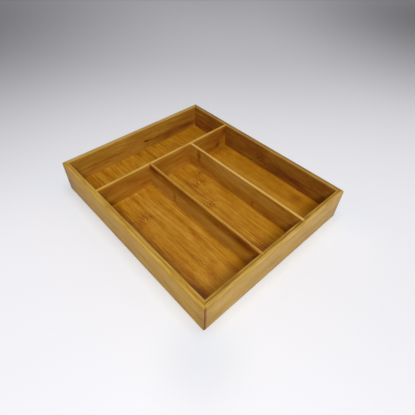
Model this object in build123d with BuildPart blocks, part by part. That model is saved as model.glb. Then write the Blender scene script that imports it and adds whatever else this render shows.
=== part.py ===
from build123d import *

import os

# Cutlery tray in bamboo, in millimetres. X runs across the tray, Y runs from the front wall to the
# back wall, +Z is up, and the origin is the middle of the tray on the surface that it stands on.
# Four walls meet in mitres round a floor panel that floats in a groove. A cross divider parts the
# back pocket from the lanes, and two long dividers part the lanes. Divider ends sit in dados, open
# at the top, and the dividers stand on the panel.

# Tray, outside
tray_length = 310.0
tray_width = 260.0
tray_height = 50.0

# Walls
wall_thickness = 8.0
edge_round = 2.0
inner_ease = 0.8
foot_ease = 0.8

# Floor panel, and the groove that holds it
panel_thickness = 5.0
panel_lift = 6.5
groove_depth = 3.0
groove_play = 0.1
panel_gap = 0.4

# Dividers, and the dados that hold them
divider_thickness = 4.0
divider_ease = 0.5
wall_dado_depth = 3.0
cross_dado_depth = 1.2
dado_play = 0.1

# Compartments, clear between faces: what is left of the width is the left lane
pocket_depth = 76.0
middle_lane_width = 74.5
right_lane_width = 76.0

# How far a cut runs past the face that it opens
overrun = 1.0

# Faces and centre lines that the pieces share
inner_width = tray_width - 2 * wall_thickness
inner_length = tray_length - 2 * wall_thickness
floor_height = panel_lift + panel_thickness
divider_height = tray_height - floor_height
dado_width = divider_thickness + 2 * dado_play
cross_y = inner_length / 2 - pocket_depth - divider_thickness / 2
right_x = inner_width / 2 - right_lane_width - divider_thickness / 2
left_x = right_x - middle_lane_width - divider_thickness
front_face_y = -inner_length / 2
cross_face_y = cross_y - divider_thickness / 2


def rim_ring():
    """The four walls as one ring with its edges rounded and its groove cut, before the mitres."""
    with BuildPart() as ring:
        with BuildSketch():
            Rectangle(tray_width, tray_length)
        extrude(amount=tray_height)
        upright_edges = ring.edges().filter_by(Axis.Z)
        top_edges = ring.edges().group_by(Axis.Z)[-1]
        fillet(upright_edges + top_edges, radius=edge_round)
        with BuildSketch():
            Rectangle(inner_width, inner_length)
        extrude(amount=tray_height, mode=Mode.SUBTRACT)
        top_face = ring.faces().sort_by(Axis.Z)[-1]
        fillet(top_face.inner_wires()[0].edges(), radius=inner_ease)
        bottom_face = ring.faces().sort_by(Axis.Z)[0]
        chamfer(bottom_face.edges(), length=foot_ease)
        with BuildSketch(Plane.XY.offset(panel_lift)):
            Rectangle(inner_width + 2 * groove_depth, inner_length + 2 * groove_depth)
        extrude(amount=panel_thickness + groove_play, mode=Mode.SUBTRACT)
    return ring.part


def between_mitres(outer_half, outer_reach, turn):
    """Plan of one wall, seen with the wall in front: the trapezium between its two mitres."""
    inner_half = outer_half - wall_thickness - 2 * overrun
    inner_reach = outer_reach - wall_thickness - 2 * overrun
    with BuildSketch(Plane.XY.rotated((0, 0, turn))) as plan:
        with BuildLine():
            Polyline(
                (-outer_half, -outer_reach),
                (outer_half, -outer_reach),
                (inner_half, -inner_reach),
                (-inner_half, -inner_reach),
                close=True,
            )
        make_face()
    return plan.sketch


def dado_plan(depth, mouth, way):
    """Plan of one dado, on the panel: it runs in from the middle of its mouth, along way."""
    span = depth + overrun
    middle = Vector(*mouth) + Vector(*way) * ((depth - overrun) / 2)
    with BuildSketch(Plane.XY.offset(floor_height)) as plan:
        with Locations(middle):
            Rectangle(span if way[0] else dado_width, span if way[1] else dado_width)
    return plan.sketch


def finish(piece, name):
    """Names the piece and writes it."""
    piece.part.label = name
    export_step(piece.part, f"parts/{name}.step")


os.makedirs("parts", exist_ok=True)

ring = rim_ring()
across = (tray_width / 2 + overrun, tray_length / 2 + overrun)
along = (tray_length / 2 + overrun, tray_width / 2 + overrun)

# Front wall, with a dado for each long divider
with BuildPart() as front_wall:
    add(ring)
    extrude(between_mitres(*across, 0), amount=tray_height, mode=Mode.INTERSECT)
    for place_x in (left_x, right_x):
        dado = dado_plan(wall_dado_depth, (place_x, front_face_y), (0, -1))
        extrude(dado, amount=divider_height, mode=Mode.SUBTRACT)
finish(front_wall, "front_wall")

# Back wall, plain
with BuildPart() as back_wall:
    add(ring)
    extrude(between_mitres(*across, 180), amount=tray_height, mode=Mode.INTERSECT)
finish(back_wall, "back_wall")

# Side walls, each with a dado for the cross divider
for name, side, turn in (("left_wall", -1, -90), ("right_wall", 1, 90)):
    with BuildPart() as side_wall:
        add(ring)
        extrude(between_mitres(*along, turn), amount=tray_height, mode=Mode.INTERSECT)
        dado = dado_plan(wall_dado_depth, (side * inner_width / 2, cross_y), (side, 0))
        extrude(dado, amount=divider_height, mode=Mode.SUBTRACT)
    finish(side_wall, name)

# Floor panel: it lies on the lower side of the groove, with room to swell at its edges
with BuildPart() as floor_panel:
    with BuildSketch(Plane.XY.offset(panel_lift)):
        tongue = groove_depth - panel_gap
        Rectangle(inner_width + 2 * tongue, inner_length + 2 * tongue)
    extrude(amount=panel_thickness)
finish(floor_panel, "floor_panel")

# Cross divider: its ends sit in the side walls, and its front face takes the long dividers
with BuildPart() as cross_divider:
    with BuildSketch(Plane.XY.offset(floor_height)):
        with Locations((0, cross_y)):
            Rectangle(inner_width + 2 * (wall_dado_depth - dado_play), divider_thickness)
    extrude(amount=divider_height)
    fillet(cross_divider.edges().filter_by(Axis.X).group_by(Axis.Z)[-1], radius=divider_ease)
    for place_x in (left_x, right_x):
        dado = dado_plan(cross_dado_depth, (place_x, cross_face_y), (0, 1))
        extrude(dado, amount=divider_height, mode=Mode.SUBTRACT)
finish(cross_divider, "cross_divider")

# Long dividers: from the front wall's dado to the cross divider's
front_end_y = front_face_y - wall_dado_depth + dado_play
back_end_y = cross_face_y + cross_dado_depth - dado_play
for name, place_x in (("left_divider", left_x), ("right_divider", right_x)):
    with BuildPart() as long_divider:
        with BuildSketch(Plane.XY.offset(floor_height)):
            with Locations((place_x, (front_end_y + back_end_y) / 2)):
                Rectangle(divider_thickness, back_end_y - front_end_y)
        extrude(amount=divider_height)
        fillet(long_divider.edges().filter_by(Axis.Y).group_by(Axis.Z)[-1], radius=divider_ease)
    finish(long_divider, name)
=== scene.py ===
"""A bamboo cutlery tray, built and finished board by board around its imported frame.

Eight boards: four mitred walls, a floor panel that floats in their groove, a cross divider and two
long dividers. Each board is a section carried along its length, worked out with numpy, and each has
its own cut of bamboo: strips, fibres and the knuckles where the real boards show them.
Lengths are in millimetres until a mesh is made, and the row's frame is kept throughout.
"""

import logging
import math
from dataclasses import dataclass
from enum import Enum
from typing import Any, Iterable, Mapping, Sequence

import bmesh
import bpy
import numpy as np
from mathutils import Matrix, Vector


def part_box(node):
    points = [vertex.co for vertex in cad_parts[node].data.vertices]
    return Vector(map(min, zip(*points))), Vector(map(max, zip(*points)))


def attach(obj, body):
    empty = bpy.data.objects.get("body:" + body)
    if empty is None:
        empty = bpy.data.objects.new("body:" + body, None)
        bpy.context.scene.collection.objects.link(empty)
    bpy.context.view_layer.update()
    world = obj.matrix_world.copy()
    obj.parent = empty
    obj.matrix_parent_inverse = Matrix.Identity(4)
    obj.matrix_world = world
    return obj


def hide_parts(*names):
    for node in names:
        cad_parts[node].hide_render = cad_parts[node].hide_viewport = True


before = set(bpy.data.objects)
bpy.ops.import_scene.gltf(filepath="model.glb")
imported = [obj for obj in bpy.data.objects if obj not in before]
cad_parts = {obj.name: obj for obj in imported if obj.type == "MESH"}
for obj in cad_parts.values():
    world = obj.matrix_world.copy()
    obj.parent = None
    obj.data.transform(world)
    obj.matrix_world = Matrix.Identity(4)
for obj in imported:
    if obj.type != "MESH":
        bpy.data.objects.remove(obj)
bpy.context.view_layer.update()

MM = 0.001
BODY = "root"
# Points of a mesh that lie nearer than this are one, and edges that turn further than this are sharp
MERGE_DISTANCE = 0.004 * MM
SHARP_ANGLE = math.radians(32.0)
# Stations from a mitre to the end of its rounded corner
CORNER_STATIONS = 6
log = logging.getLogger("cutlery_tray")

Socket = bpy.types.NodeSocket
Span = tuple[float, float]
Triple = tuple[float, float, float]
Colour = tuple[float, float, float, float]


def linear(hex_colour: str) -> Colour:
    """Turns an sRGB hex colour into the linear colour that a shader works in.

    Args:
        hex_colour: The colour as "#RRGGBB".

    Returns:
        Linear red, green and blue, and an alpha of 1.
    """
    parts = np.array([int(hex_colour[i : i + 2], 16) for i in (1, 3, 5)]) / 255.0
    low = parts / 12.92
    high = ((parts + 0.055) / 1.055) ** 2.4
    red, green, blue = np.where(parts <= 0.04045, low, high)
    return float(red), float(green), float(blue), 1.0


class Way(Enum):
    """An axis of the row's frame, by its place in a vector."""

    X = 0
    Y = 1
    Z = 2


class Side(Enum):
    """The four walls, each by the quarter turns that bring it from the front to its place."""

    FRONT = 0
    RIGHT = 1
    BACK = 2
    LEFT = 3


@dataclass(frozen=True)
class Cut:
    """A dado up a board's inner face: its middle along the board, its sizes, and its foot's height."""

    middle: float
    width: float
    depth: float
    foot: float


@dataclass(frozen=True)
class TraySizes:
    """The sizes that the boards share: places as packed, and the joints as in the part's source."""

    width: float
    length: float
    height: float
    floor_under: float
    floor_top: float
    cross_y: float
    left_x: float
    right_x: float
    wall: float = 8.0
    groove: float = 3.0
    groove_play: float = 0.1
    panel_gap: float = 0.4
    divider: float = 4.0
    dado_play: float = 0.1
    wall_dado: float = 3.0
    cross_dado: float = 1.2

    @classmethod
    def from_frame(cls) -> "TraySizes":
        """Reads the outside sizes, the floor's faces and the dividers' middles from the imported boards."""
        dividers = ("cross_divider", "left_divider", "right_divider")
        names = ("right_wall", "back_wall", "floor_panel", *dividers)
        low = {name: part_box(name)[0] / MM for name in names}
        high = {name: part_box(name)[1] / MM for name in names}
        middle = {name: (low[name] + high[name]) / 2.0 for name in names}
        return cls(
            width=2.0 * high["right_wall"].x,
            length=2.0 * high["back_wall"].y,
            height=high["back_wall"].z,
            floor_under=low["floor_panel"].z,
            floor_top=high["floor_panel"].z,
            cross_y=middle["cross_divider"].y,
            left_x=middle["left_divider"].x,
            right_x=middle["right_divider"].x,
        )

    def dados(self, middles: Iterable[float], depth: float) -> list[Cut]:
        """Cuts of one depth that take dividers, from the floor up, in order along a board."""
        width = self.divider + 2.0 * self.dado_play
        return [Cut(middle, width, depth, self.floor_top) for middle in middles]


@dataclass(frozen=True)
class Section:
    """A closed outline across a board: each point's inset from the outer face, and its height."""

    inset: np.ndarray
    height: np.ndarray

    @classmethod
    def through(cls, points: Iterable[Sequence[float]]) -> "Section":
        """Makes a section from (inset, height) points in order round the outline."""
        table = np.asarray(list(points), float)
        return cls(table[:, 0], table[:, 1])


def quarter_round(middle: Sequence[float], radius: float, start: float, steps: int = 4) -> np.ndarray:
    """A quarter of a circle, clockwise from an angle: middle plus radius times (cosine, sine).

    Args:
        middle: Inset and height of the circle's middle.
        radius: The circle's radius.
        start: Angle of the first point, in degrees from the inset axis.
        steps: How many pieces the quarter is divided into.

    Returns:
        The points, one row of inset and height each.
    """
    angle = np.radians(start - np.linspace(0.0, 90.0, steps + 1))
    return np.asarray(middle) + radius * np.stack([np.cos(angle), np.sin(angle)], axis=1)


def carry(section: Section, half: float, cuts: Sequence[Cut], corner: float | None) -> np.ndarray:
    """Carries a section along a board and returns the grid of its points.

    Between its ends each station repeats the section. A dado has two stations at each cheek, and
    between them no point above its foot is set in further than the dado's back. A mitred end follows
    the tray's rounded corner: a point at inset d turns about the corner's middle on radius
    (corner - d), or keeps to the mitre line where d is more than the corner's radius.

    Args:
        section: The outline across the board.
        half: Half of the board's length.
        cuts: The dados in its inner face, in order along it.
        corner: Radius of the tray's upright corners for a mitred end, or None for a square end.

    Returns:
        An array of stations by outline points by (along, inset, height).
    """
    inset = section.inset[None, :]
    if corner is None:
        end_along = np.full_like(inset, -half)
        end_inset = inset.copy()
    else:
        turn = np.radians(np.linspace(45.0, 0.0, CORNER_STATIONS))[:, None]
        reach = np.maximum(corner, inset)
        bend = np.maximum(corner - inset, 0.0)
        end_along = -half + reach - bend * np.sin(turn)
        end_inset = reach - bend * np.cos(turn)
    along = [end_along]
    depth = [end_inset]
    for cut in cuts:
        cheeks = cut.middle + cut.width / 2.0 * np.array([-1.0, -1.0, 1.0, 1.0])[:, None]
        above = section.height >= cut.foot
        limit = inset.max() - cut.depth * np.array([0.0, 1.0, 1.0, 0.0])[:, None] * above
        along.append(np.broadcast_to(cheeks, (4, inset.size)))
        depth.append(np.minimum(inset, limit))
    along.append(-end_along[::-1])
    depth.append(end_inset[::-1])
    along_all = np.concatenate(along)
    height = np.broadcast_to(section.height, along_all.shape)
    return np.stack([along_all, np.concatenate(depth), height], axis=-1)


def closed_mesh(name: str, x: np.ndarray, y: np.ndarray, z: np.ndarray) -> bpy.types.Object:
    """Skins a grid of closed outlines, caps its two ends and makes an object of it.

    Each quad joins neighbouring points of neighbouring outlines, and each end is one face. Points
    that meet are merged, so a corner that has no radius left closes by itself.

    Args:
        name: The new object's name.
        x: Places across the tray, stations by outline points, in millimetres in the row's frame.
        y: Places along the tray.
        z: Heights.

    Returns:
        The object, at the origin, with its place in its mesh and its normals outwards.
    """
    grid = np.stack([x, y, z], axis=-1)
    index = np.arange(x.size).reshape(x.shape)
    onward = np.roll(index, -1, axis=1)
    quads = np.stack([index[:-1], index[1:], onward[1:], onward[:-1]], axis=-1).reshape(-1, 4)
    faces = quads.tolist() + [index[0].tolist(), index[-1][::-1].tolist()]
    mesh = bpy.data.meshes.new(name)
    mesh.from_pydata((grid.reshape(-1, 3) * MM).tolist(), [], faces)
    work = bmesh.new()
    work.from_mesh(mesh)
    bmesh.ops.remove_doubles(work, verts=work.verts, dist=MERGE_DISTANCE)
    bmesh.ops.dissolve_degenerate(work, edges=work.edges, dist=MERGE_DISTANCE)
    bmesh.ops.recalc_face_normals(work, faces=work.faces)
    work.to_mesh(mesh)
    work.free()
    mesh.shade_smooth()
    mesh.set_sharp_from_angle(angle=SHARP_ANGLE)
    piece = bpy.data.objects.new(name, mesh)
    bpy.context.scene.collection.objects.link(piece)
    return piece


class Graph:
    """A material's or a world's node tree, with one method that adds a node."""

    def __init__(self, owner: bpy.types.Material | bpy.types.World) -> None:
        """Clears the owner's tree and keeps it."""
        owner.use_nodes = True
        self.tree = owner.node_tree
        self.tree.nodes.clear()

    def add(
        self,
        kind: str,
        inputs: Mapping[Any, Any] | None = None,
        out: Any = 0,
        stops: Sequence[tuple[float, Colour]] = (),
        **settings: Any,
    ) -> Socket:
        """Adds a node with its settings, values and links.

        Args:
            kind: The node's type without its "ShaderNode" prefix.
            inputs: For each input, by name or number, a socket to link from or a value to set.
            out: The output that is wanted, by name or number.
            stops: For a colour ramp, the place and the colour of each stop, in order.
            **settings: Properties of the node.

        Returns:
            The wanted output, or the node's first input where it has no output.
        """
        node = self.tree.nodes.new("ShaderNode" + kind)
        for key, value in settings.items():
            setattr(node, key, value)
        if stops:
            elements = node.color_ramp.elements
            elements.remove(elements[-1])
            elements[0].position, elements[0].color = stops[0]
            for position, colour in stops[1:]:
                elements.new(position).color = colour
        for key, value in (inputs or {}).items():
            if isinstance(value, Socket):
                self.tree.links.new(value, node.inputs[key])
            else:
                node.inputs[key].default_value = value
        return node.outputs[out] if len(node.outputs) else node.inputs[0]


@dataclass(frozen=True)
class Patch:
    """A place on a board that is darker or lighter than the rest: a knuckle, a stain, a streak, or painted
    light or shade.

    Places are along the grain, across the strips and in from the board's outer face. Its shade is
    what it adds at its middle, and it fades to nothing at its reach, an ellipsoid.
    """

    along: float
    across: float
    shade: float
    half_length: float
    half_width: float
    inward: float
    half_depth: float


def patches(*rows: Sequence[float], inward: float = 0.0, half_depth: float = 60.0) -> tuple[Patch, ...]:
    """Patches from rows of their numbers in order, with these depths where a row leaves its own out."""
    return tuple(Patch(*(*row, inward, half_depth)[:7]) for row in rows)


@dataclass(frozen=True)
class BambooShades:
    """Colours of bamboo from its darkest fibre to its palest, as sRGB hex."""

    knuckle: str
    dark: str
    plain: str
    pale: str
    sanded: str

    def stops(self) -> list[tuple[float, Colour]]:
        """The five colours for a shader, each with its place on a scale of shade from 0 to 1."""
        colours = (self.knuckle, self.dark, self.plain, self.pale, self.sanded)
        return list(zip((0.0, 0.25, 0.5, 0.75, 1.0), map(linear, colours)))


# Carbonised flat-pressed bamboo under a thin clear varnish: warm amber that the lanes' own light
# makes warmer still
AMBER = BambooShades("#4A2404", "#864C06", "#AB720C", "#C08E33", "#CFA55A")
# The same board stood on edge, where the varnish lies thinner: the amber is a little greyer
TOFFEE = BambooShades("#4A2410", "#864D16", "#AE7922", "#C9983F", "#D5A45B")
# The thin dividers' board, pressed hotter: the toffee is redder where it is dark
CARAMEL = BambooShades("#4A240A", "#86480E", "#AE741B", "#C8993F", "#D5A963")
# The paler skin side of the walls' outer ply: a straw tan that looks almost grey beside the lanes
STRAW = BambooShades("#702C08", "#976C1E", "#BC9236", "#CAA45E", "#D9BC8C")
# Its sanded edge along the front, where the fibres end a little duller
WHEAT = BambooShades("#702C08", "#957024", "#BA9444", "#C8A568", "#D9BC8C")
# The same skin side, a little riper
HONEY = BambooShades("#5A3A0C", "#94660C", "#BC8D10", "#BE9546", "#D0B07A")
# The same skin side, greyer, for the top edges of the back and right walls
DRIFT = BambooShades("#5A421A", "#8A6828", "#B09248", "#C2A464", "#D4BE90")
# An inner ply where it shows in a wall's top edge, cut across its layers: duller, and a little green
OLIVE = BambooShades("#4A3410", "#7C5412", "#A87C24", "#BA9444", "#CBAA66")
# The same, greyer, for the top edges of the back and right walls
LICHEN = BambooShades("#4A3818", "#7A5820", "#9E732C", "#B58E42", "#C6A874")


@dataclass(frozen=True)
class Ply:
    """One layer of a board: its colours, how dark it is as a whole, its strips, and its sanded top edge.

    The top edge is lighter or darker by rim, and may have colours of its own.
    """

    shades: BambooShades
    shade: float = 0.0
    strips: tuple[float, ...] = (0.0,)
    rim: float = 0.0
    top_shades: BambooShades | None = None


@dataclass(frozen=True)
class Lay:
    """How a board's bamboo lies: the axes along, across and through it, and its outer face.

    The way inwards from that face is the axis's own where the sign is 1, and against it where it is -1.
    """

    grain: Way
    across: Way
    inward: Way
    outer_face: float
    sign: float = 1.0


@dataclass(frozen=True)
class Cutting:
    """What one board was cut from: its plies and knuckles, its stain marks, and the painted light and shade
    laid on it.

    Its strips start at first_edge, in the row's frame. The figure of the grain is fainter in the calm
    places, by the share that is their shade. The warm places carry painted warm light, the glow that
    neighbouring boards throw there: their colour is nearer to red by warm_turn, a share of the hue
    circle, and fuller by warm_fullness.
    """

    inner: Ply
    outer: Ply | None = None
    first_edge: float = 8.0
    ply_line: float = 4.6
    ply_line_shade: float = 0.0
    knuckles: tuple[Patch, ...] = ()
    # Stain marks, and painted light and shade, as patches
    stains_and_painted_light: tuple[Patch, ...] = ()
    band_shade: float = 0.11
    flame_shade: float = 0.09
    line_shade: float = 0.08
    fibre_shade: float = 0.16
    blotch_shade: float = 0.16
    mottle_shade: float = 0.0
    tint: float = 0.014
    calm: tuple[Patch, ...] = ()
    # Painted warm light, as patches
    warm: tuple[Patch, ...] = ()
    warm_turn: float = 0.012
    warm_fullness: float = 0.06


@dataclass(frozen=True)
class Grain:
    """What a board's colour is read from at each point, as sockets.

    They are the place across the strips, the sum of the marks, how near the sanded top edge is
    from 0 to 1, the tint, a hue of which 0.5 is the ramp's own, and how full the colour is.
    """

    across: Socket
    marks: Socket
    rim: Socket
    tint: Socket
    fullness: Socket


# How much each finer layer of a noise weighs against the one before it
NOISE_ROUGHNESS = 0.55


class Pattern(Enum):
    """The patterns in bamboo: length along the grain and width in millimetres, and finer layers.

    Real bundles of fibres are about 0.5 mm wide and the pores in them 0.2 mm, too fine to show in
    the picture, so relief, fibres and pores are drawn 0.5 to 1 mm wide.
    """

    RELIEF = (55.0, 0.9, 3.0)
    BANDS = (300.0, 7.0, 1.0)
    FLAMES = (34.0, 4.2, 1.0)
    LINES = (62.0, 2.0, 1.0)
    FIBRES = (30.0, 1.0, 2.0)
    MOTTLE = (15.0, 8.0, 1.0)
    BLOTCHES = (38.0, 17.0, 2.0)
    PORES = (9.0, 0.55, 0.0)
    HUES = (42.0, 13.0, 2.0)
    WANDER = (110.0, 24.0, 1.0)
    SWIRL = (7.0, 7.0, 1.0)
    BREAKS = (4.0, 3.0, 0.0)


@dataclass(frozen=True)
class KnuckleFigure:
    """How a knuckle is drawn: small dark arcs round paler spots, the borders of cells, with breaks.

    A cell's size is in millimetres. The knuckle's shade is taken arc times at a border and spot times
    beyond the arc's width, and each is less where the noise in breaks is low, by the shares in kept.
    """

    cell: Triple = (4.8, 3.8, 3.8)
    scatter: float = 0.9
    arc_width: float = 0.36
    arc: float = 1.3
    spot: float = -1.1
    breaks: Span = (0.36, 0.56)
    kept: Span = (0.4, 1.1)


@dataclass(frozen=True)
class Varnish:
    """Thin clear varnish, sprayed: satin, and duller where the relief of the fibres is high."""

    ior: float = 1.5
    specular: float = 0.2
    relief: Span = (0.3, 0.7)
    roughness: Span = (0.42, 0.56)
    depth: float = 0.08
    strength: float = 0.3


@dataclass(frozen=True)
class BambooFinish:
    """Varnished bamboo board, of one ply or two, as it is seen on one piece.

    The eye gets straight long fibres in strips 20 mm wide that differ a little in tone, soft waves
    where the fibres swell towards a knuckle, specks across a strip at the knuckle itself, and the
    low satin of a thin sprayed varnish.

    The top edge counts as sanded between the two depths in rim under its height. The glue line is
    twice seam_half wide, and the plies' colours blend over ply_blend to each side of it. The fibres
    stray from a straight line by wander, and by swirl at a knuckle.
    """

    name: str
    lay: Lay
    cutting: Cutting
    varnish: Varnish = Varnish()
    knuckle: KnuckleFigure = KnuckleFigure()
    strip_width: float = 20.0
    top_edge: float = 50.0
    rim: Span = (0.9, 0.1)
    seam_half: float = 0.45
    ply_blend: float = 0.1
    wander: float = 4.0
    swirl: float = 5.0
    pores: Span = (0.6, 0.8)
    pore_shade: float = -0.16

    def material(self) -> bpy.types.Material:
        """Builds the material, which reads Object coordinates alone."""
        lay, cutting, varnish = self.lay, self.cutting, self.varnish
        material = bpy.data.materials.new(self.name)
        graph = Graph(material)
        place = graph.add("TexCoord", out="Object")
        place = graph.add("VectorMath", {0: place, "Scale": 1.0 / MM}, operation="SCALE")
        row = graph.add("SeparateXYZ", {0: place}).node.outputs
        along, across, through = (row[way.value] for way in (lay.grain, lay.across, lay.inward))
        depth = {0: through, 1: lay.sign, 2: -lay.sign * lay.outer_face}
        inward = graph.add("Math", depth, operation="MULTIPLY_ADD")
        board = graph.add("CombineXYZ", {0: along, 1: across, 2: inward})
        swell = self._sum(graph, board, cutting.knuckles, 1.0)
        bent = self._bent(graph, board, through, swell)
        relief = self._noise(graph, bent, Pattern.RELIEF)
        marks = self._marks(graph, board, bent)
        low, high = (self.top_edge - depth for depth in self.rim)
        rim = graph.add("MapRange", {0: row[Way.Z.value], 1: low, 2: high})
        seam, blend = cutting.ply_line, self.ply_blend
        if cutting.outer:
            near = graph.add("Math", {0: inward, 1: seam, 2: self.seam_half}, operation="COMPARE")
            glued = {0: near, 1: cutting.ply_line_shade, 2: marks}
            marks = graph.add("Math", glued, operation="MULTIPLY_ADD")
        tint = self._noise(graph, board, Pattern.HUES)
        tint = graph.add("MapRange", {0: tint, 3: 0.5 - cutting.tint, 4: 0.5 + cutting.tint})
        # Painted warm light: colour turned towards red and made fuller in the warm places
        warm = self._sum(graph, board, cutting.warm)
        tint = graph.add("Math", {0: warm, 1: -cutting.warm_turn, 2: tint}, operation="MULTIPLY_ADD")
        fullness = {0: warm, 1: cutting.warm_fullness, 2: 1.0}
        fullness = graph.add("Math", fullness, operation="MULTIPLY_ADD")
        grain = Grain(across, marks, rim, tint, fullness)
        colour = self._coloured(graph, grain, cutting.inner)
        if cutting.outer:
            pale = self._coloured(graph, grain, cutting.outer)
            inside = graph.add("MapRange", {0: inward, 1: seam - blend, 2: seam + blend})
            colour = graph.add("Mix", {0: inside, 6: pale, 7: colour}, out=2, data_type="RGBA")
        satin = dict(enumerate((relief, *varnish.relief, *varnish.roughness)))
        roughness = graph.add("MapRange", satin)
        height = {"Height": relief, "Strength": varnish.strength, "Distance": varnish.depth * MM}
        seen = {"Base Color": colour, "Roughness": roughness, "Normal": graph.add("Bump", height)}
        gloss = {"IOR": varnish.ior, "Specular IOR Level": varnish.specular}
        surface = graph.add("BsdfPrincipled", seen | gloss)
        graph.add("OutputMaterial", {"Surface": surface})
        return material

    def _noise(self, graph: Graph, place: Socket, pattern: Pattern) -> Socket:
        """Noise with a pattern's features, which are as deep into the board as they are wide.

        Args:
            graph: The tree.
            place: The place on the board.
            pattern: The features.

        Returns:
            A value that mostly lies from 0.3 to 0.7.
        """
        length, width, detail = pattern.value
        per_mm = (1.0 / length, 1.0 / width, 1.0 / width)
        scaled = graph.add("VectorMath", {0: place, 1: per_mm}, operation="MULTIPLY")
        layers = {"Scale": 1.0, "Detail": detail, "Roughness": NOISE_ROUGHNESS}
        return graph.add("TexNoise", {"Vector": scaled} | layers)

    def _sum(
        self, graph: Graph, board: Socket, places: Sequence[Patch], shade: float | None = None
    ) -> Socket:
        """Adds up patches: each falls smoothly from its shade at its middle to nothing at its reach.

        Args:
            graph: The tree.
            board: The place on the board.
            places: The patches.
            shade: What each counts as at its middle, where that isn't its own shade.

        Returns:
            The sum.
        """
        total = graph.add("Value")
        total.default_value = 0.0
        for patch in places:
            reach = np.array([patch.half_length, patch.half_width, patch.half_depth])
            middle = np.array([patch.along, patch.across, patch.inward])
            scaling = {0: board, 1: tuple(1.0 / reach), 2: tuple(-middle / reach)}
            local = graph.add("VectorMath", scaling, operation="MULTIPLY_ADD")
            distance = graph.add("VectorMath", {0: local}, out="Value", operation="LENGTH")
            peak = patch.shade if shade is None else shade
            fade = {0: distance, 3: peak, 4: 0.0}
            part = graph.add("MapRange", fade, interpolation_type="SMOOTHSTEP")
            total = graph.add("Math", {0: total, 1: part}, operation="ADD")
        return total

    def _bent(self, graph: Graph, board: Socket, raw: Socket, swell: Socket) -> Socket:
        """The place on the board as its fibres run: they wander slowly, and swirl at a knuckle.

        Args:
            graph: The tree.
            board: The place on the board, measured straight.
            raw: The place through the board in the row's frame, so that two boards differ.
            swell: How near a knuckle is, from 0 to 1.

        Returns:
            The place to read fibre patterns at.
        """
        straight = graph.add("SeparateXYZ", {0: board}).node.outputs
        seeded = graph.add("CombineXYZ", {0: straight[0], 1: straight[1], 2: raw})
        slow = self._noise(graph, seeded, Pattern.WANDER)
        slow = graph.add("MapRange", {0: slow, 3: -self.wander, 4: self.wander}, clamp=False)
        swirl = self._noise(graph, seeded, Pattern.SWIRL)
        swirl = graph.add("MapRange", {0: swirl, 3: -self.swirl, 4: self.swirl}, clamp=False)
        swirl = graph.add("Math", {0: swirl, 1: swell}, operation="MULTIPLY")
        moved = graph.add("Math", {0: straight[1], 1: slow}, operation="ADD")
        moved = graph.add("Math", {0: moved, 1: swirl}, operation="ADD")
        return graph.add("CombineXYZ", {0: straight[0], 1: moved, 2: raw})

    def _marks(self, graph: Graph, board: Socket, bent: Socket) -> Socket:
        """Adds up the grain's figure, pores and knuckles, the stain marks and the painted light and shade.

        Args:
            graph: The tree.
            board: The place measured straight.
            bent: The place as the fibres run.

        Returns:
            What they add to a strip's shade.
        """
        cutting = self.cutting
        # Bands follow the culm's wall, flames are where it was cut at a slant, lines are bundles of
        # fibres, mottle is where a cut follows the fibres' waves, and blotches are where the stain took
        layers = (
            (bent, Pattern.BANDS, cutting.band_shade),
            (bent, Pattern.FLAMES, cutting.flame_shade),
            (bent, Pattern.LINES, cutting.line_shade),
            (bent, Pattern.FIBRES, cutting.fibre_shade),
            (board, Pattern.MOTTLE, cutting.mottle_shade),
            (board, Pattern.BLOTCHES, cutting.blotch_shade),
        )
        figure = graph.add("Value")
        figure.default_value = 0.0
        for place, pattern, shade in layers:
            layer = self._noise(graph, place, pattern)
            layer = graph.add("MapRange", {0: layer, 3: -shade, 4: shade})
            figure = graph.add("Math", {0: figure, 1: layer}, operation="ADD")
        calm = self._sum(graph, board, cutting.calm)
        left = graph.add("Math", {0: 1.0, 1: calm}, operation="SUBTRACT")
        # Stain marks, and painted light and shade, where the patches put them
        total = self._sum(graph, board, cutting.stains_and_painted_light)
        total = graph.add("Math", {0: figure, 1: left, 2: total}, operation="MULTIPLY_ADD")
        # Pores: the dark ends of cut vessels, fine dashes that run with the grain
        pores = self._noise(graph, bent, Pattern.PORES)
        dashes = dict(enumerate((pores, *self.pores, 0.0, self.pore_shade)))
        pores = graph.add("MapRange", dashes)
        total = graph.add("Math", {0: total, 1: pores}, operation="ADD")
        if not cutting.knuckles:
            return total
        drawn = self.knuckle
        per_mm = tuple(1.0 / length for length in drawn.cell)
        cells = graph.add("VectorMath", {0: bent, 1: per_mm}, operation="MULTIPLY")
        border = {"Vector": cells, "Scale": 1.0, "Randomness": drawn.scatter}
        arcs = graph.add("TexVoronoi", border, out="Distance", feature="DISTANCE_TO_EDGE")
        fade = {0: arcs, 2: drawn.arc_width, 3: drawn.arc, 4: drawn.spot}
        arcs = graph.add("MapRange", fade, interpolation_type="SMOOTHSTEP")
        breaks = self._noise(graph, board, Pattern.BREAKS)
        breaks = graph.add("MapRange", dict(enumerate((breaks, *drawn.breaks, *drawn.kept))))
        arcs = graph.add("Math", {0: arcs, 1: breaks}, operation="MULTIPLY")
        knuckle = self._sum(graph, board, cutting.knuckles)
        return graph.add("Math", {0: arcs, 1: knuckle, 2: total}, operation="MULTIPLY_ADD")

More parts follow.
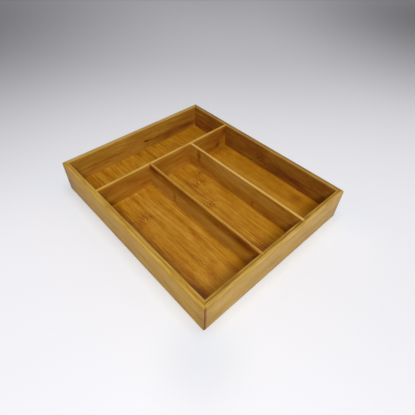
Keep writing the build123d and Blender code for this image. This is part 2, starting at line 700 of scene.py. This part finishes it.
    def _coloured(self, graph: Graph, grain: Grain, ply: Ply) -> Socket:
        """The colour of a ply: its strip's shade, constant across the strip, with marks and rim added.

        Args:
            graph: The tree.
            grain: What the colour is read from.
            ply: The layer.

        Returns:
            The colour, turned in hue by the tint.
        """
        count = len(ply.strips)
        first = self.cutting.first_edge
        last = first + count * self.strip_width
        place = graph.add("MapRange", {0: grain.across, 1: first, 2: last})
        shades = [0.5 + ply.shade + strip for strip in ply.strips]
        steps = [(number / count, (grey, grey, grey, 1.0)) for number, grey in enumerate(shades)]
        strip = graph.add("ValToRGB", {0: place}, stops=steps)
        strip.node.color_ramp.interpolation = "CONSTANT"
        shade = graph.add("Math", {0: strip, 1: grain.marks}, operation="ADD")
        shade = graph.add("Math", {0: grain.rim, 1: ply.rim, 2: shade}, operation="MULTIPLY_ADD")
        colour = graph.add("ValToRGB", {0: shade}, stops=ply.shades.stops())
        if ply.top_shades:
            top = graph.add("ValToRGB", {0: shade}, stops=ply.top_shades.stops())
            colour = graph.add("Mix", {0: grain.rim, 6: colour, 7: top}, out=2, data_type="RGBA")
        turned = {"Hue": grain.tint, "Saturation": grain.fullness, "Color": colour}
        return graph.add("HueSaturation", turned)


def finish_piece(piece: bpy.types.Object, node: str, slot: str, finish: BambooFinish) -> None:
    """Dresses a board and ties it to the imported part.

    Args:
        piece: The board.
        node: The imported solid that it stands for.
        slot: The record's material slot that its finish belongs to.
        finish: Its bamboo.
    """
    piece.data.materials.append(finish.material())
    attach(piece, BODY)
    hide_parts(node)
    triangles = sum(len(polygon.vertices) - 2 for polygon in piece.data.polygons)
    log.info("%s: %d triangles, stands for %s, slot %s", piece.name, triangles, node, slot)


@dataclass
class WallRing:
    """The four walls: mitred, rounded outside, grooved for the floor and cut for the dividers."""

    sizes: TraySizes
    corner: float = 2.0
    inner_ease: float = 0.8
    foot_ease: float = 0.8
    hold: float = 0.35

    def section(self) -> Section:
        """The outline across a wall, from its outer foot up, over the rim and down inside.

        Flat faces carry an extra point just beside each rounding, which keeps their shading flat.
        """
        size = self.sizes
        top, wall = size.height, size.wall
        outside = quarter_round((self.corner, top - self.corner), self.corner, 180.0, steps=8)
        inside = quarter_round((wall - self.inner_ease, top - self.inner_ease), self.inner_ease, 90.0)
        groove_back = wall - size.groove
        points = [
            (0.0, self.foot_ease),
            (0.0, self.foot_ease + self.hold),
            (0.0, top - self.corner - self.hold),
            *outside,
            (self.corner + self.hold, top),
            (wall - self.inner_ease - self.hold, top),
            *inside,
            (wall, top - self.inner_ease - self.hold),
            (wall, size.floor_top + size.groove_play),
            (groove_back, size.floor_top + size.groove_play),
            (groove_back, size.floor_under),
            (wall, size.floor_under),
            (wall, self.foot_ease),
            (wall - self.foot_ease, 0.0),
            (self.foot_ease, 0.0),
        ]
        return Section.through(points)

    def cuts(self, side: Side) -> list[Cut]:
        """The dados of one wall."""
        size = self.sizes
        middles = {
            Side.FRONT: (size.left_x, size.right_x),
            Side.RIGHT: (size.cross_y,),
            Side.BACK: (),
            Side.LEFT: (-size.cross_y,),
        }
        return size.dados(middles[side], size.wall_dado)

    def board(self, side: Side) -> bpy.types.Object:
        """Builds one wall.

        The wall is carried as if it stood in front, and turned about the middle of the tray by
        quarter turns: (x, y) goes to (-y, x) at each turn.

        Args:
            side: Which wall.

        Returns:
            The board.
        """
        size = self.sizes
        halves = (size.width / 2.0, size.length / 2.0)
        half, reach = halves if side in (Side.FRONT, Side.BACK) else halves[::-1]
        grid = carry(self.section(), half, self.cuts(side), self.corner)
        x, y, z = grid[..., 0], grid[..., 1] - reach, grid[..., 2]
        for _ in range(side.value):
            x, y = -y, x
        return closed_mesh(f"{side.name.lower()}_wall_board", x, y, z)

    def finish(self, side: Side) -> BambooFinish:
        """The bamboo of one wall: its grain runs along it, and its strips are stacked up its height."""
        size = self.sizes
        across_tray = side in (Side.FRONT, Side.BACK)
        sign = 1.0 if side in (Side.FRONT, Side.LEFT) else -1.0
        half = (size.length if across_tray else size.width) / 2.0
        grain, inward = (Way.X, Way.Y) if across_tray else (Way.Y, Way.X)
        lay = Lay(grain, Way.Z, inward, -sign * half, sign)
        return BambooFinish(f"two_ply_bamboo_{side.name.lower()}", lay, WALL_CUTTINGS[side])

    def build(self) -> None:
        """Builds and dresses the four walls."""
        for side in Side:
            node = f"{side.name.lower()}_wall"
            finish_piece(self.board(side), node, "wall_bamboo", self.finish(side))


@dataclass
class FloorPanel:
    """The floor: one board whose edges lie in the walls' groove, with room to swell."""

    sizes: TraySizes
    ease: float = 0.3

    def build(self) -> None:
        """Builds and dresses the panel: a flat rectangle with eased edges, carried from front to back.

        Its section's places across are measured from the middle of the tray.
        """
        size = self.sizes
        tongue = size.groove - size.panel_gap
        half_x = size.width / 2.0 - size.wall + tongue
        half_y = size.length / 2.0 - size.wall + tongue
        low, high, ease = size.floor_under, size.floor_top, self.ease
        insets = np.array([ease, 0.0, 0.0, ease]) - half_x
        heights = np.array([low, low + ease, high - ease, high])
        section = Section(np.append(insets, -insets[::-1]), np.append(heights, heights[::-1]))
        y, x, z = np.moveaxis(carry(section, half_y, [], None), -1, 0)
        piece = closed_mesh("floor_panel_board", x, y, z)
        lay = Lay(Way.Y, Way.X, Way.Z, high, -1.0)
        finish = BambooFinish("flat_pressed_bamboo_floor", lay, FLOOR_CUTTING)
        finish_piece(piece, "floor_panel", "floor_bamboo", finish)


@dataclass
class Dividers:
    """The cross divider and the two long dividers, which stand on the floor panel."""

    sizes: TraySizes
    ease: float = 0.5
    hold: float = 0.2

    def section(self) -> Section:
        """The outline across a divider: upright faces and a top with both edges eased."""
        size = self.sizes
        thick, top, foot, ease = size.divider, size.height, size.floor_top, self.ease
        points = [
            (0.0, foot),
            (0.0, top - ease - self.hold),
            *quarter_round((ease, top - ease), ease, 180.0),
            (ease + self.hold, top),
            (thick - ease - self.hold, top),
            *quarter_round((thick - ease, top - ease), ease, 90.0),
            (thick, top - ease - self.hold),
            (thick, foot),
        ]
        return Section.through(points)

    def cross_board(self) -> bpy.types.Object:
        """The cross divider, turned half round so that its cut face looks to the front."""
        size = self.sizes
        half = size.width / 2.0 - size.wall + size.wall_dado - size.dado_play
        cuts = size.dados((-size.right_x, -size.left_x), size.cross_dado)
        grid = carry(self.section(), half, cuts, None)
        back_face = size.cross_y + size.divider / 2.0
        return closed_mesh("cross_divider_board", -grid[..., 0], back_face - grid[..., 1], grid[..., 2])

    def long_board(self, name: str, place_x: float) -> bpy.types.Object:
        """A long divider, from the front wall's dado to the cross divider's.

        Args:
            name: The board's name.
            place_x: Where its middle stands across the tray.

        Returns:
            The board.
        """
        size = self.sizes
        front = -size.length / 2.0 + size.wall - size.wall_dado + size.dado_play
        back = size.cross_y - size.divider / 2.0 + size.cross_dado - size.dado_play
        grid = carry(self.section(), (back - front) / 2.0, [], None)
        x = place_x + size.divider / 2.0 - grid[..., 1]
        y = grid[..., 0] + (back + front) / 2.0
        return closed_mesh(name, x, y, grid[..., 2])

    def build(self) -> None:
        """Builds and dresses the three dividers."""
        size = self.sizes
        half = size.divider / 2.0
        slot = "divider_bamboo"
        lay = Lay(Way.X, Way.Z, Way.Y, size.cross_y - half)
        finish = BambooFinish("bamboo_cross_divider", lay, CROSS_CUTTING)
        finish_piece(self.cross_board(), "cross_divider", slot, finish)
        longs = (
            ("left_divider", size.left_x, LEFT_DIVIDER_CUTTING),
            ("right_divider", size.right_x, RIGHT_DIVIDER_CUTTING),
        )
        for node, place_x, cutting in longs:
            lay = Lay(Way.Y, Way.Z, Way.X, place_x - half)
            finish = BambooFinish(f"bamboo_{node}", lay, cutting)
            finish_piece(self.long_board(f"{node}_board", place_x), node, slot, finish)


# Each board's own cut of bamboo, with the strips, knuckles and stain marks that the real one shows,
# and in some rows painted light and shade, named where they lie. A row is a patch: its place along
# and across, its shade, its half length and half width, and where it needs them its two depths.

BACK_STAINS = patches(
    (10, 27.5, -0.55, 6.5, 2.6),
    (17, 26.5, -0.34, 12, 2.2),
    (75, 20, -0.19, 90, 15),
    (60, 24, -0.1, 55, 5),
    (100, 22, -0.12, 30, 7),
    (120, 38, -0.08, 90, 24),
    (5.5, 19, -0.1, 3, 11),
    (13, 19, -0.1, 7, 10),
    (32, 25, -0.14, 26, 4),
    (40, 18, -0.05, 34, 8),
    (-60, 27, -0.1, 80, 2.4),
    (-60, 41, 0.06, 80, 6),
    (-60, 16, 0.06, 80, 6),
    inward=8.0,
    half_depth=4.0,
)
RIGHT_STAINS_AND_PAINTED_LIGHT = patches(
    (-14, 29, -0.08, 12, 12),
    (31, 13, -0.12, 6, 2.5),
    (-66, 21, -0.1, 62, 8),
    (-20, 28.5, -0.03, 180, 5),
    (-75, 40, 0.06, 30, 12),
    # Painted light at the near end, where the front wall's shade falls
    (-142, 32, 0.22, 14, 16),
    (-134, 13, 0.14, 12, 8),
    (130, 40, 0.08, 36, 14),
    (45, 42, -0.06, 14, 10),
    inward=8.0,
    half_depth=4.0,
)
FLOOR_STAINS_AND_PAINTED_LIGHT = patches(
    # Streaks in single strips
    (-115, -88, 0.14, 32, 7),
    (-115, -62, 0.1, 24, 6),
    (-112, -106, -0.08, 24, 6),
    (-80, 86, 0.06, 60, 6),
    (38, 115, 0.1, 26, 9),
    (-80, 119, 0.08, 50, 6),
    (0, -43, 0.08, 30, 6),
    (38, -62, 0.1, 24, 5),
    (-80, -81, -0.08, 24, 4),
    # Long streaks through the lanes
    (10, -94, -0.05, 80, 8),
    (-40, -78, -0.07, 180, 3.5),
    (-40, -62, 0.09, 180, 8),
    (-40, -52, -0.1, 180, 3.5),
    (-40, -43, 0.09, 180, 5),
    (-40, -10, -0.05, 180, 3),
    (-40, -2, 0.06, 180, 3),
    (-40, 5.5, -0.06, 180, 1.6),
    (-40, 36, 0.05, 180, 4),
    (-20, 87, 0.1, 200, 8),
    # Streaks in the pocket
    (130, 5.5, -0.14, 60, 2.6),
    (130, 9.5, -0.11, 60, 6),
    (130, -94, -0.09, 60, 7),
    (130, -80, -0.06, 50, 7),
    (130, -60, -0.04, 50, 8),
    (130, -34, -0.09, 60, 6),
    (130, -10.5, -0.09, 60, 8),
    (130, 47, 0.06, 60, 8),
    (130, 65, -0.08, 60, 7),
    (130, -40, 0.07, 50, 10),
    (130, 60, -0.04, 50, 90),
    # Blotches, and painted shade along the left wall, where the wall's shadow falls on the panel
    (-103, -68, -0.12, 12, 14),
    (-101, 104, -0.16, 15, 16),
    (64, 96, -0.14, 16, 40),
    (30, 16, -0.1, 24, 20),
    (-130, -80, -0.06, 24, 60),
    (0, -108, -0.16, 260, 21),
    # The lanes' near ends by the front wall: painted light that lifts the wall's shade there, darker
    # places, and the dark lines of the middle one
    (-128, -76, 0.17, 16, 32),
    (-123, -105, -0.13, 20, 11),
    (-130, 40, 0.12, 13, 12),
    (-135, 4, -0.12, 10, 14),
    (-114, 6, -0.09, 14, 6),
    (-122, -6, -0.22, 46, 1.2),
    (-122, -2.5, -0.22, 42, 1.1),
    (-124, 1.5, -0.2, 40, 1.1),
    (-126, 6, -0.16, 36, 1.2),
    (-128, 11, -0.13, 30, 1.2),
    # Places that stand out by themselves; the last is painted light at the right lane's near end
    (-20, -98, -0.1, 18, 8),
    (30, 20, 0.08, 14, 12),
    (-130, 86, 0.11, 14, 16),
    # Painted light along the dividers' feet, which lifts the shade where they meet the panel
    (66.5, -81, 0.14, 7, 62),
    (66, 82, 0.06, 6, 44),
    (20, -38.5, 0.1, 60, 5),
    (20, 40, 0.12, 60, 5.5),
    (-70, 37.5, 0.12, 50, 5.5),
)
CROSS_STAINS_AND_PAINTED_SHADE = patches(
    (103, 19, -0.2, 9, 8),
    (95, 25, -0.12, 40, 40),
    (14, 16, 0.06, 34, 12),
    (-108, 15, -0.14, 12, 9),
    (-70, 36, -0.05, 60, 6),
    (0, 47, 0.08, 400, 7),
    (-32, 40, -0.12, 10, 14),
    # Painted shadow at the right-hand end, where the right wall shades the board
    (122, 42, -0.26, 18, 14),
    (62, 20, -0.12, 14, 12),
    (86, 16, -0.06, 34, 12),
    (-110, 41, -0.07, 14, 12),
    half_depth=3.0,
)

WALL_CUTTINGS: dict[Side, Cutting] = {
    Side.FRONT: Cutting(
        outer=Ply(STRAW, 0.0, (-0.03, 0.02, 0.02), 0.01, WHEAT),
        inner=Ply(TOFFEE, -0.07, rim=-0.02, top_shades=OLIVE),
        ply_line=3.8,
        ply_line_shade=-0.05,
        stains_and_painted_light=patches(
            (-129.5, 25, -0.5, 4.5, 70),
            (-130, 25, -0.1, 36, 70),
            (0, 50, -0.1, 400, 12, 4.9, 1.1),
            (0, 50, 0.24, 400, 4, 7.9, 2),
            # Painted shade at the right-hand end, where the rounded corner turns away from the lamps
            (130, 25, -0.16, 14, 70),
            (0, 37, 0.06, 400, 15),
            (-18, 50, -0.12, 22, 8, 7.5, 2.5),
            half_depth=5.0,
        ),
        band_shade=0.1,
        flame_shade=0.14,
        fibre_shade=0.42,
        blotch_shade=0.14,
    ),
    Side.LEFT: Cutting(
        outer=Ply(HONEY, -0.03, (-0.02, 0.02, 0.04), -0.03, STRAW),
        inner=Ply(TOFFEE, rim=0.09, top_shades=OLIVE),
        ply_line=4.0,
        ply_line_shade=-0.12,
        stains_and_painted_light=patches(
            (-158, 25, -0.16, 22, 70),
            (158, 25, -0.18, 50, 70),
            (0, 38, 0.06, 800, 22, 0, 4),
            (0, 5, -0.05, 800, 13, 0, 4),
            (0, 50, 0.08, 800, 6, 6, 1.2),
            (-43, 50, -0.1, 26, 6, 3.5, 5),
            half_depth=5.0,
        ),
        band_shade=0.08,
        flame_shade=0.14,
        fibre_shade=0.38,
        blotch_shade=0.14,
    ),
    Side.BACK: Cutting(
        outer=Ply(STRAW, 0.0, (-0.02, 0.02, 0.02), 0.0, DRIFT),
        inner=Ply(TOFFEE, 0.02, rim=0.2, top_shades=LICHEN),
        ply_line_shade=-0.03,
        stains_and_painted_light=BACK_STAINS,
        band_shade=0.08,
    ),
    Side.RIGHT: Cutting(
        outer=Ply(STRAW, -0.06, (0.02, -0.02, 0.02), -0.22, DRIFT),
        inner=Ply(TOFFEE, -0.18, (-0.04, 0.0, 0.01), 0.19, LICHEN),
        knuckles=patches((-14, 29, -0.22, 11, 11, 8, 4)),
        stains_and_painted_light=RIGHT_STAINS_AND_PAINTED_LIGHT,
        band_shade=0.05,
    ),
}

FLOOR_CUTTING = Cutting(
    inner=Ply(AMBER, strips=(0, 0, 0.02, 0.03, 0, 0.02, -0.01, 0.01, 0, 0, -0.02, -0.03, -0.05, -0.05)),
    first_edge=-134.5,
    knuckles=patches(
        (15.5, -86, -0.21, 15, 20),
        (20.8, 18.8, -0.24, 11, 20),
        (40.2, 37.4, -0.24, 13, 16),
        (-25.7, 2.9, -0.21, 14, 17),
        # Here the fibres only swirl
        (-105, -86, -0.03, 46, 34),
    ),
    stains_and_painted_light=FLOOR_STAINS_AND_PAINTED_LIGHT,
    flame_shade=0.11,
    line_shade=0.14,
    fibre_shade=0.22,
    mottle_shade=0.1,
    tint=0.01,
    calm=patches((-40, 94, 0.55, 500, 62), (-136, -75, 0.5, 56, 70)),
    # Painted warm light at the foot of the front wall: the panel is turned redder and fuller there,
    # as that wall's bounce light makes it
    warm=patches((-140, 0, 1, 26, 900)),
)

CROSS_CUTTING = Cutting(
    inner=Ply(CARAMEL, 0.02, (0.03, 0.0, -0.03), 0.22),
    first_edge=-10.0,
    stains_and_painted_light=CROSS_STAINS_AND_PAINTED_SHADE,
    band_shade=0.08,
    line_shade=0.06,
    fibre_shade=0.13,
)

LEFT_DIVIDER_CUTTING = Cutting(
    inner=Ply(CARAMEL, 0.06, (0.09, 0.08, 0.08), 0.0, TOFFEE),
    first_edge=-4.5,
    stains_and_painted_light=patches(
        (-40, 46, -0.28, 800, 18),
        (10, 24, -0.3, 5, 11),
        # Painted light at the near end, where the front wall's shade falls
        (-135, 24, 0.24, 13, 16),
        (-120, 44, -0.2, 26, 15, 0, 4),
        (58, 45, -0.2, 22, 15, 0, 4),
        (48, 24, 0.1, 18, 14),
        half_depth=3.0,
    ),
    # Painted warm light at this board's near end, by the front wall
    warm=patches((-130, 20, 1, 34, 24, 0, 3)),
)

RIGHT_DIVIDER_CUTTING = Cutting(
    inner=Ply(CARAMEL, 0.04, (-0.05, -0.05, 0.06, 0.03), 0.3),
    first_edge=-11.0,
    stains_and_painted_light=patches(
        (46.5, 38, -0.32, 7, 15),
        (-69, 20, -0.16, 4, 9),
        (-20, 40, 0.09, 50, 25),
        # Painted light at the near end, where the front wall's shade falls
        (-142, 28, 0.14, 10, 18),
        (-131, 21, 0.1, 9, 12),
        (-134, 42, -0.14, 12, 10),
        (-100, 22, -0.08, 36, 14),
        (-110, 50, -0.14, 50, 9, 0, 2.4),
        (40, 50, -0.14, 40, 9, 0, 2.4),
        (-80, 50, 0.12, 90, 5, 4, 2.4),
        # Painted light low on the face, just above its foot
        (24, 15, 0.1, 46, 9),
        (-120, 32, -0.09, 24, 12),
        half_depth=3.0,
    ),
)


@dataclass(frozen=True)
class CameraPose:
    """Where the photograph was taken from: a pinhole camera, in degrees and millimetres."""

    sensor: float = 36.0
    lens: float = 28.6105
    azimuth: float = -43.858
    elevation: float = 46.331
    roll: float = 1.638
    distance: float = 494.219
    target: Triple = (1.069, -18.995, 0.0)
    nearest: float = 10.0

    def build(self) -> None:
        """Adds the camera and makes it the scene's: rolled, then tilted up, then turned round."""
        turns = ((self.azimuth, "Z"), (90.0 - self.elevation, "X"), (self.roll, "Z"))
        around, tilt, roll = (Matrix.Rotation(math.radians(angle), 4, axis) for angle, axis in turns)
        turn = around @ tilt @ roll
        back = turn.col[2].to_3d()
        place = (Vector(self.target) + back * self.distance) * MM
        data = bpy.data.cameras.new("camera")
        data.sensor_width = self.sensor
        data.lens = self.lens
        data.clip_start = self.nearest * MM
        camera = bpy.data.objects.new("camera", data)
        camera.matrix_world = Matrix.Translation(place) @ turn
        bpy.context.scene.collection.objects.link(camera)
        bpy.context.scene.camera = camera


@dataclass(frozen=True)
class SoftBox:
    """A square lamp that faces a point, in metres, and how bright it makes a white card there."""

    name: str
    place: Triple
    aim: Triple
    size: float
    level: float

    def build(self) -> None:
        """Adds the lamp. Its power is level times pi squared times the distance squared."""
        way = Vector(self.aim) - Vector(self.place)
        data = bpy.data.lights.new(self.name, "AREA")
        data.shape = "SQUARE"
        data.size = self.size
        data.energy = self.level * math.pi**2 * way.length_squared
        turn = way.to_track_quat("-Z", "Y").to_matrix().to_4x4()
        lamp = bpy.data.objects.new(self.name, data)
        lamp.matrix_world = Matrix.Translation(self.place) @ turn
        bpy.context.scene.collection.objects.link(lamp)


@dataclass
class Studio:
    """The plain pale floor, the lamps and the surroundings.

    The floor's colour is painted with light and shade. It is painted darker away from the lamps: along
    away, over the distances in reach, down to the share left. It is painted softly darker or lighter
    round a few places, each with its radius and what is left of the white there. Close to the tray,
    within halo, it is painted a cooler white, to offset the wood's own warm light that falls on it.
    """

    sizes: TraySizes
    floor_half: float = 4.0
    floor_roughness: float = 0.9
    floor_specular: float = 0.1
    floor_colour: str = "#F1F0F2"
    # Painted cooler white near the tray, offsetting the wood's warm bounce light
    painted_cool_near_colour: str = "#EBEFF4"
    halo: float = 0.07
    # Painted light falloff: darker along away, over reach, down to the share left
    away: Triple = (0.693, 0.721, 0.0)
    reach: Span = (0.09, 0.56)
    left: float = 0.81
    # Painted light and shade: softly darker or lighter places, each a middle, a radius and the white kept
    painted_light_and_shade: tuple[tuple[Triple, float, float], ...] = (
        ((-0.3, 1.1, 0.0), 1.0, 0.32),
        ((1.2, 0.0, 0.0), 0.75, 0.38),
        ((0.1, -0.18, 0.0), 0.09, 1.035),
        ((0.0, -0.38, 0.0), 0.32, 0.945),
        ((-0.155, -0.18, 0.0), 0.075, 0.93),
        ((-0.27, 0.13, 0.0), 0.24, 1.05),
    )
    world_colour: str = "#F2F4FF"
    world_strength: float = 0.25
    seen_colour: str = "#F4F4F7"
    world_seen: float = 0.72
    lamps: tuple[SoftBox, ...] = (
        SoftBox("overhead_box", (-0.06, -0.17, 1.6), (-0.06, -0.17, 0.0), 0.9, 0.334),
        SoftBox("front_fill", (-0.68, -1.0, 1.28), (0.0, 0.0, 0.0), 0.44, 0.588),
    )

    def floor(self) -> None:
        """Adds the floor, a large level square with a faint dull sheen."""
        half = self.floor_half
        corners = [(-half, -half, 0.0), (half, -half, 0.0), (half, half, 0.0), (-half, half, 0.0)]
        mesh = bpy.data.meshes.new("studio_floor")
        mesh.from_pydata(corners, [], [(0, 1, 2, 3)])
        piece = bpy.data.objects.new("studio_floor", mesh)
        bpy.context.scene.collection.objects.link(piece)
        material = bpy.data.materials.new("matt_white_board_painted_light")
        graph = Graph(material)
        place = graph.add("TexCoord", out="Object")
        # Painted light falloff away from the lamps
        far = graph.add("VectorMath", {0: place, 1: self.away}, out="Value", operation="DOT_PRODUCT")
        fade = dict(enumerate((far, *self.reach, 1.0, self.left)))
        level = graph.add("MapRange", fade, interpolation_type="SMOOTHSTEP")
        # Painted light and shade round the listed places
        for middle, radius, kept in self.painted_light_and_shade:
            near = graph.add("VectorMath", {0: place, 1: middle}, out="Value", operation="DISTANCE")
            fade = {0: near, 2: radius, 3: kept, 4: 1.0}
            patch = graph.add("MapRange", fade, interpolation_type="SMOOTHSTEP")
            level = graph.add("Math", {0: level, 1: patch}, operation="MULTIPLY")
        # Painted cooler white close to the tray, offsetting the warm light the wood throws on it
        half_tray = (self.sizes.width / 2.0 * MM, self.sizes.length / 2.0 * MM, 0.0)
        beside = graph.add("VectorMath", {0: place}, operation="ABSOLUTE")
        beside = graph.add("VectorMath", {0: beside, 1: half_tray}, operation="SUBTRACT")
        sides = graph.add("SeparateXYZ", {0: beside}).node.outputs
        gap = graph.add("Math", {0: sides[0], 1: sides[1]}, operation="MAXIMUM")
        fade = {0: gap, 2: self.halo, 3: 1.0, 4: 0.0}
        close = graph.add("MapRange", fade, interpolation_type="SMOOTHSTEP")
        whites = {0: close, 6: linear(self.floor_colour), 7: linear(self.painted_cool_near_colour)}
        white = graph.add("Mix", whites, out=2, data_type="RGBA")
        colour = graph.add("VectorMath", {0: white, "Scale": level}, operation="SCALE")
        card = {"Roughness": self.floor_roughness, "Specular IOR Level": self.floor_specular}
        surface = graph.add("BsdfPrincipled", {"Base Color": colour} | card)
        graph.add("OutputMaterial", {"Surface": surface})
        mesh.materials.append(material)

    def build(self) -> None:
        """Sets the view, the surroundings, the lamps and the floor."""
        scene = bpy.context.scene
        scene.view_settings.view_transform = "Standard"
        scene.world = bpy.data.worlds.new("studio")
        graph = Graph(scene.world)
        rays = graph.add("LightPath").node.outputs
        seen = graph.add("Math", {0: rays["Is Camera Ray"], 1: rays["Is Glossy Ray"]}, operation="MAXIMUM")
        seen = graph.add("Math", {0: seen, 1: rays["Is Transmission Ray"]}, operation="MAXIMUM")
        strength = graph.add("MapRange", {0: seen, 3: self.world_strength, 4: self.world_seen})
        skies = {0: seen, 6: linear(self.world_colour), 7: linear(self.seen_colour)}
        sky = graph.add("Mix", skies, out=2, data_type="RGBA")
        light = graph.add("Background", {"Color": sky, "Strength": strength})
        graph.add("OutputWorld", {"Surface": light})
        for lamp in self.lamps:
            lamp.build()
        self.floor()


def main() -> None:
    """Builds the tray and its studio in order, and reports each piece."""
    logging.basicConfig(level=logging.INFO, format="%(name)s: %(message)s")
    sizes = TraySizes.from_frame()
    log.info("tray %.1f by %.1f by %.1f mm", sizes.length, sizes.width, sizes.height)
    WallRing(sizes).build()
    FloorPanel(sizes).build()
    Dividers(sizes).build()
    Studio(sizes).build()
    CameraPose().build()


if __name__ == "__main__":
    main()
